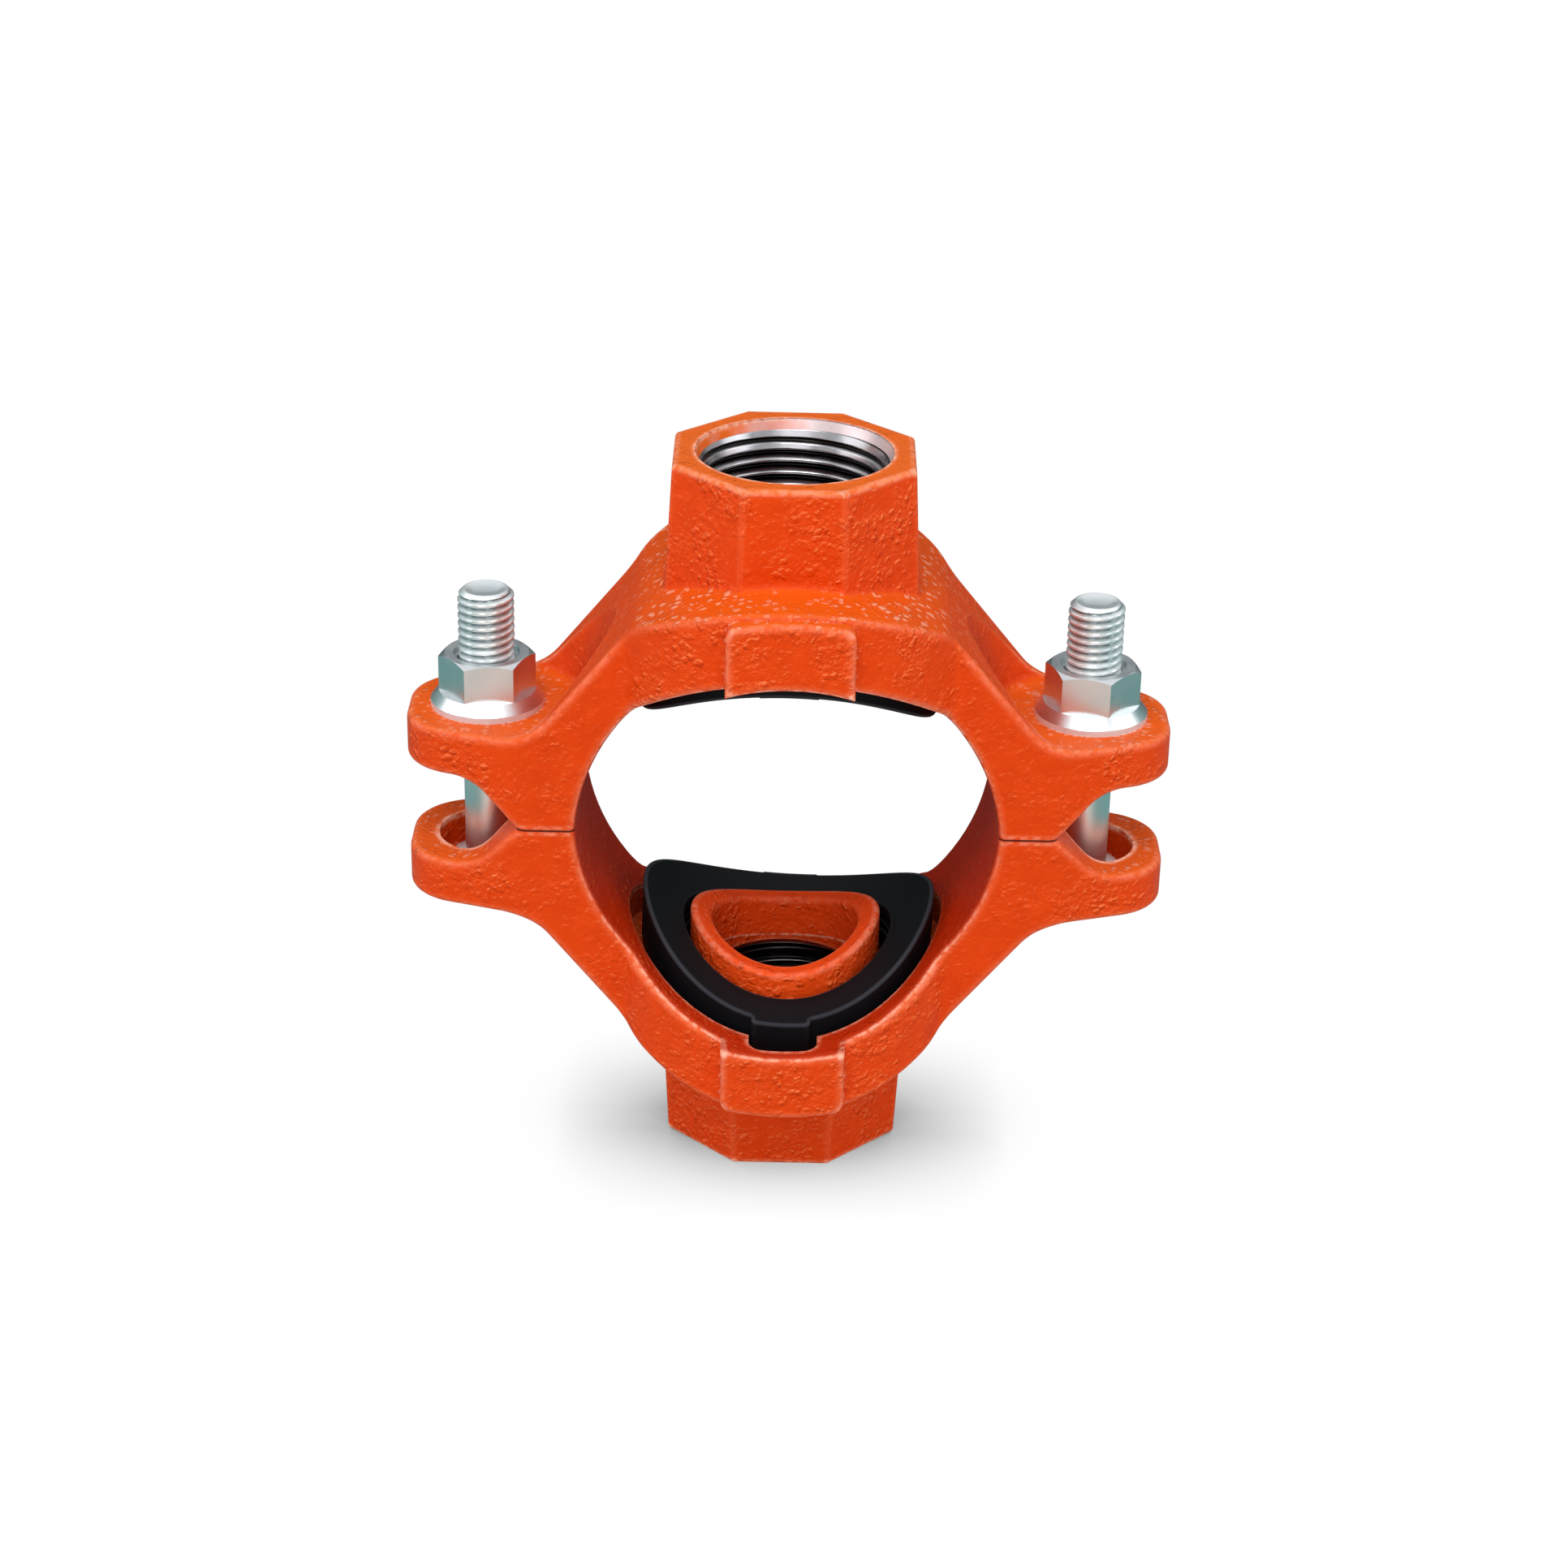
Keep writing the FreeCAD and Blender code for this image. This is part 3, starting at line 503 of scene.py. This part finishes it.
def bolt_surface(name, low, high):
    """Track bolt from its head's dome up to its dished tip; the thread is a helical wave on its radius."""
    head = (high.x - low.x) / 2
    under = low.z + head_height
    around = 96
    angle = np.linspace(0, 2 * np.pi, around, endpoint=False)
    round_section = np.ones(around)

    # dome: from the pole to the rim by (r / R)^1.5 + (h / H)^1.5 = 1, then a small round up to the underside
    dome_rings, rim_rings = 14, 5
    turn = np.linspace(0.06, 1, dome_rings) * np.pi / 2
    dome_height = head_height - head_rim
    heights = [low.z + dome_height * (1 - np.maximum(np.cos(turn), 0) ** (4 / 3))]
    radii = [np.outer(head * np.sin(turn) ** (4 / 3), round_section)]
    turn = np.linspace(0.1, 1, rim_rings) * np.pi / 2
    heights.append(under - rim_rounding * (1 - np.sin(turn)))
    radii.append(np.outer(head - rim_rounding * (1 - np.cos(turn)), round_section))
    painted_root_shade = [np.zeros((dome_rings + rim_rings, around))]

    # oval neck, then the shank up to the thread
    neck = oval_radius(angle, neck_length, neck_width)
    neck_top = under + neck_height
    thread_start = high.z - bolt_thread
    heights.append(np.array([under, neck_top - neck_rounding, neck_top, neck_top, thread_start - 1 * MM]))
    shank = shank_radius * round_section
    radii.append(np.stack([neck, neck, neck - neck_rounding, shank, shank]))
    painted_root_shade.append(np.zeros((5, around)))

    # thread with a rounded wave, fading in at its start and cut by the cone at the tip
    rows_per_turn = 14
    z = np.linspace(thread_start, high.z - 0.05 * MM, int(rows_per_turn * bolt_thread / bolt_pitch))
    phase = z[:, None] / bolt_pitch - angle / (2 * np.pi)
    wave = 0.5 + 0.5 * np.cos(2 * np.pi * phase)
    crest = np.clip(1.25 * wave - 0.05, 0, 1)
    grown = np.clip((z - thread_start) / (2 * bolt_pitch), 0, 1)[:, None]
    full = bolt_radius - bolt_thread_depth * (1 - crest)
    thread = shank_radius + (full - shank_radius) * grown
    cone = tip_flat + (high.z - z) * (bolt_radius - tip_flat) / tip_cone
    heights.append(z)
    radii.append(np.minimum(thread, cone[:, None]))
    painted_root_shade.append(np.clip(0.9 - 2.4 * crest, 0, 0.9) * grown)

    # dished end
    heights.append(np.array([high.z, high.z, high.z - 0.5 * dish_depth, high.z - dish_depth]))
    ends = [tip_flat - 0.08 * MM, dish_radius, 0.8 * dish_radius, 0.55 * dish_radius]
    radii.append(np.outer(ends, round_section))
    painted_root_shade.append(np.outer([0, 0, 0.3, 0.5], round_section))

    rings = turned_rings((np.concatenate(radii), np.concatenate(heights)), around)
    rings += np.array([(low.x + high.x) / 2, (low.y + high.y) / 2, 0])
    made = closed_rings(name, rings)
    made.data.set_sharp_from_angle(angle=math.radians(38))
    stored = made.data.attributes.new("root_depth", "FLOAT", "POINT")
    stored.data.foreach_set("value", np.append(np.concatenate(painted_root_shade).ravel(), [0, 0.5]))
    return made


for side in ("left", "right"):
    node = side + "_bolt"
    piece = bolt_surface(side + "_track_bolt", *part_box(node))
    piece.data.materials.append(rolled_zinc)
    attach(piece, "lower_half")
    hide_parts(node)


# Flange nuts
# Hexagon nuts cold-formed in steel, with the washer face in one piece, in the same zinc as the bolts. Each
# turns down on its bolt and presses on the upper half's lug.
for name in ("left_nut", "right_nut"):
    frame["nodes"][name].data.materials.clear()
    frame["nodes"][name].data.materials.append(zinc_plate)


# Floor, light and camera
# A white floor with a painted soft shadow of the fitting, under a broad lamp above and in front, and weaker
# ones low in front and on each side. Gloss sees surroundings of its own: warm grey in front, dark behind,
# grey-green at the sides, and white above.

def surroundings(tree, direction):
    """Colour of what stands round the fitting near the floor, seen in its gloss.

    Grey-green at the sides, by |x| / |(x, y)|; else pale warm grey in front and dark behind, by y / |(x, y)|.
    """
    level = add(tree, "VectorMath", {0: direction, 1: (1.0, 1.0, 0.0)}, operation="MULTIPLY")
    unit = add(tree, "VectorMath", {0: level.outputs[0]}, operation="NORMALIZE")
    unit = add(tree, "SeparateXYZ", {0: unit.outputs[0]}).outputs
    behind = add(tree, "MapRange", {0: unit["Y"], 1: 0.3, 2: 0.7})
    ahead = add(tree, "MixRGB", {0: behind.outputs[0], 1: linear("#DED3C8"), 2: linear("#4C5A5C")})
    sideways = add(tree, "Math", {0: unit["X"]}, operation="ABSOLUTE")
    beside = add(tree, "MapRange", {0: sideways.outputs[0], 1: 0.5, 2: 0.85})
    seen = add(tree, "MixRGB", {0: beside.outputs[0], 1: ahead.outputs[0], 2: linear("#6E9E9B")})
    return seen.outputs[0]


floor_size = 8.0
shadow_reach = 30 * MM
floor_mesh = bpy.data.meshes.new("floor")
corners = [(x * floor_size, y * floor_size, cad_box[0].z) for x, y in ((-1, -1), (1, -1), (1, 1), (-1, 1))]
floor_mesh.from_pydata(corners, [], [(0, 1, 2, 3)])
floor = bpy.data.objects.new("floor", floor_mesh)
bpy.context.scene.collection.objects.link(floor)

# White studio floor: matt and white. Its soft shadow is painted: ambient occlusion greys the white that the
# camera sees beside the foot, and the painted shadow fades in front of it and behind it.
floor_white, tree, place = new_material("white_studio_floor")
seen = add(tree, "LightPath").outputs
open_sky = add(tree, "AmbientOcclusion", {"Distance": shadow_reach}, samples=16)
shade = add(tree, "MapRange", {0: open_sky.outputs["AO"], 1: 0.3, 2: 0.98, 3: 0.3, 4: 1.0})
along_run = add(tree, "SeparateXYZ", {0: place}).outputs["Y"]
from_foot = add(tree, "Math", {0: along_run, 1: 5 * MM}, operation="ADD")
from_foot = add(tree, "Math", {0: from_foot.outputs[0]}, operation="ABSOLUTE")
faded = add(tree, "MapRange", {0: from_foot.outputs[0], 1: 4 * MM, 2: 36 * MM})
lightened = add(tree, "MixRGB", {0: faded.outputs[0], 1: shade.outputs[0], 2: linear("#FFFFFF")})
shown = add(tree, "Emission", {"Color": lightened.outputs[0]})
distance = add(tree, "VectorMath", {0: place, 1: (1.0, 1.0, 0.0)}, operation="MULTIPLY")
distance = add(tree, "VectorMath", {0: distance.outputs[0]}, operation="LENGTH")
mirror_light = add(tree, "MapRange", {
    0: distance.outputs["Value"],
    1: 25 * MM,
    2: 60 * MM,
    3: 0.03,
    4: 1.0,
})
mirrored = add(tree, "Emission", {"Color": surroundings(tree, place), "Strength": mirror_light.outputs[0]})
lit = add(tree, "BsdfDiffuse", {"Color": linear("#E6E6E6")})
glossy = add(tree, "Math", {0: seen["Is Glossy Ray"], 1: seen["Is Transmission Ray"]}, operation="MAXIMUM")
unseen = add(tree, "MixShader", {0: glossy.outputs[0], 1: lit.outputs[0], 2: mirrored.outputs[0]})
surface = add(tree, "MixShader", {0: seen["Is Camera Ray"], 1: unseen.outputs[0], 2: shown.outputs[0]})
add(tree, "OutputMaterial", {"Surface": surface.outputs[0]})
floor_mesh.materials.append(floor_white)

world = bpy.data.worlds.new("studio")
world.use_nodes = True
tree = world.node_tree
tree.nodes.clear()
seen = add(tree, "LightPath").outputs
direction = add(tree, "TexCoord").outputs["Generated"]
rise = add(tree, "SeparateXYZ", {0: direction}).outputs["Z"]
soft_sky = add(tree, "MapRange", {0: rise, 1: -0.1, 2: 0.9, 3: 0.16, 4: 0.42})
soft = add(tree, "Background", {"Color": linear("#FFFFFF"), "Strength": soft_sky.outputs[0]})
towards_rear = add(tree, "SeparateXYZ", {0: direction}).outputs["Y"]
rear_wall = add(tree, "MapRange", {0: towards_rear, 1: 0.1, 2: 0.5, 3: 0.0, 4: -0.3})
lowered = add(tree, "Math", {0: rise, 1: rear_wall.outputs[0]}, operation="ADD")
overhead = add(tree, "MapRange", {0: lowered.outputs[0], 1: 0.08, 2: 0.32})
level_colour = surroundings(tree, direction)
mirrored = add(tree, "MixRGB", {0: overhead.outputs[0], 1: level_colour, 2: linear("#F2F4F6")})
glossy = add(tree, "Math", {0: seen["Is Glossy Ray"], 1: seen["Is Transmission Ray"]}, operation="MAXIMUM")
bright = add(tree, "Background", {"Color": mirrored.outputs[0]})
white = add(tree, "Background", {"Color": linear("#FFFFFF")})
unseen = add(tree, "MixShader", {0: glossy.outputs[0], 1: soft.outputs[0], 2: bright.outputs[0]})
light = add(tree, "MixShader", {0: seen["Is Camera Ray"], 1: unseen.outputs[0], 2: white.outputs[0]})
add(tree, "OutputWorld", {"Surface": light.outputs[0]})
bpy.context.scene.world = world


def lamp(name, azimuth, elevation, distance, size, level):
    """Area lamp that faces the origin. Level is the white that it alone gives a facing surface."""
    data = bpy.data.lights.new(name, "AREA")
    data.size = size
    data.energy = level * (math.pi * distance) ** 2
    made = bpy.data.objects.new(name, data)
    around, up = math.radians(azimuth), math.radians(elevation)
    direction = Vector((math.sin(around) * math.cos(up), -math.cos(around) * math.cos(up), math.sin(up)))
    facing = direction.to_track_quat("Z", "Y").to_matrix().to_4x4()
    made.matrix_world = Matrix.Translation(distance * direction) @ facing
    bpy.context.scene.collection.objects.link(made)


lamp("key", -5, 54, 0.75, 0.5, 0.56)
lamp("front", 0, 12, 0.9, 0.6, 0.16)
lamp("left_fill", -80, 25, 0.9, 0.6, 0.28)
lamp("right_fill", 80, 25, 0.9, 0.6, 0.3)
lamp("sparkle", -20, 55, 0.8, 0.07, 0.06)

# The camera stands where the fitting's own outlines place it in the photograph's square frame.
frame_pixels = 1932
focal_pixels = 4288.7
principal_point = (1011.87, 1070.85)
origin_pixel = (970.5, 977.8)
camera_distance = 632.1 * MM
azimuth, elevation, roll = (math.radians(a) for a in (0.738, 26.103, 1.498))
level_reach = math.cos(elevation)
forward = Vector((math.sin(azimuth) * level_reach, math.cos(azimuth) * level_reach, -math.sin(elevation)))
level_right = Vector((math.cos(azimuth), -math.sin(azimuth), 0))
level_up = level_right.cross(forward)
right = level_right * math.cos(roll) + level_up * math.sin(roll)
up = right.cross(forward)
shift_right = (principal_point[0] - origin_pixel[0]) / focal_pixels * camera_distance
shift_up = (origin_pixel[1] - principal_point[1]) / focal_pixels * camera_distance
camera_data = bpy.data.cameras.new("camera")
camera_data.sensor_width = 36.0
camera_data.lens = focal_pixels / frame_pixels * camera_data.sensor_width
camera_data.shift_x = -(principal_point[0] - frame_pixels / 2) / frame_pixels
camera_data.shift_y = (principal_point[1] - frame_pixels / 2) / frame_pixels
camera_data.clip_start = 0.01
camera = bpy.data.objects.new("camera", camera_data)
stand = shift_right * right + shift_up * up - camera_distance * forward
aim = Matrix((right, up, -forward)).transposed().to_4x4()
camera.matrix_world = Matrix.Translation(stand) @ aim
bpy.context.scene.collection.objects.link(camera)
bpy.context.scene.camera = camera
bpy.context.scene.view_settings.view_transform = "Standard"
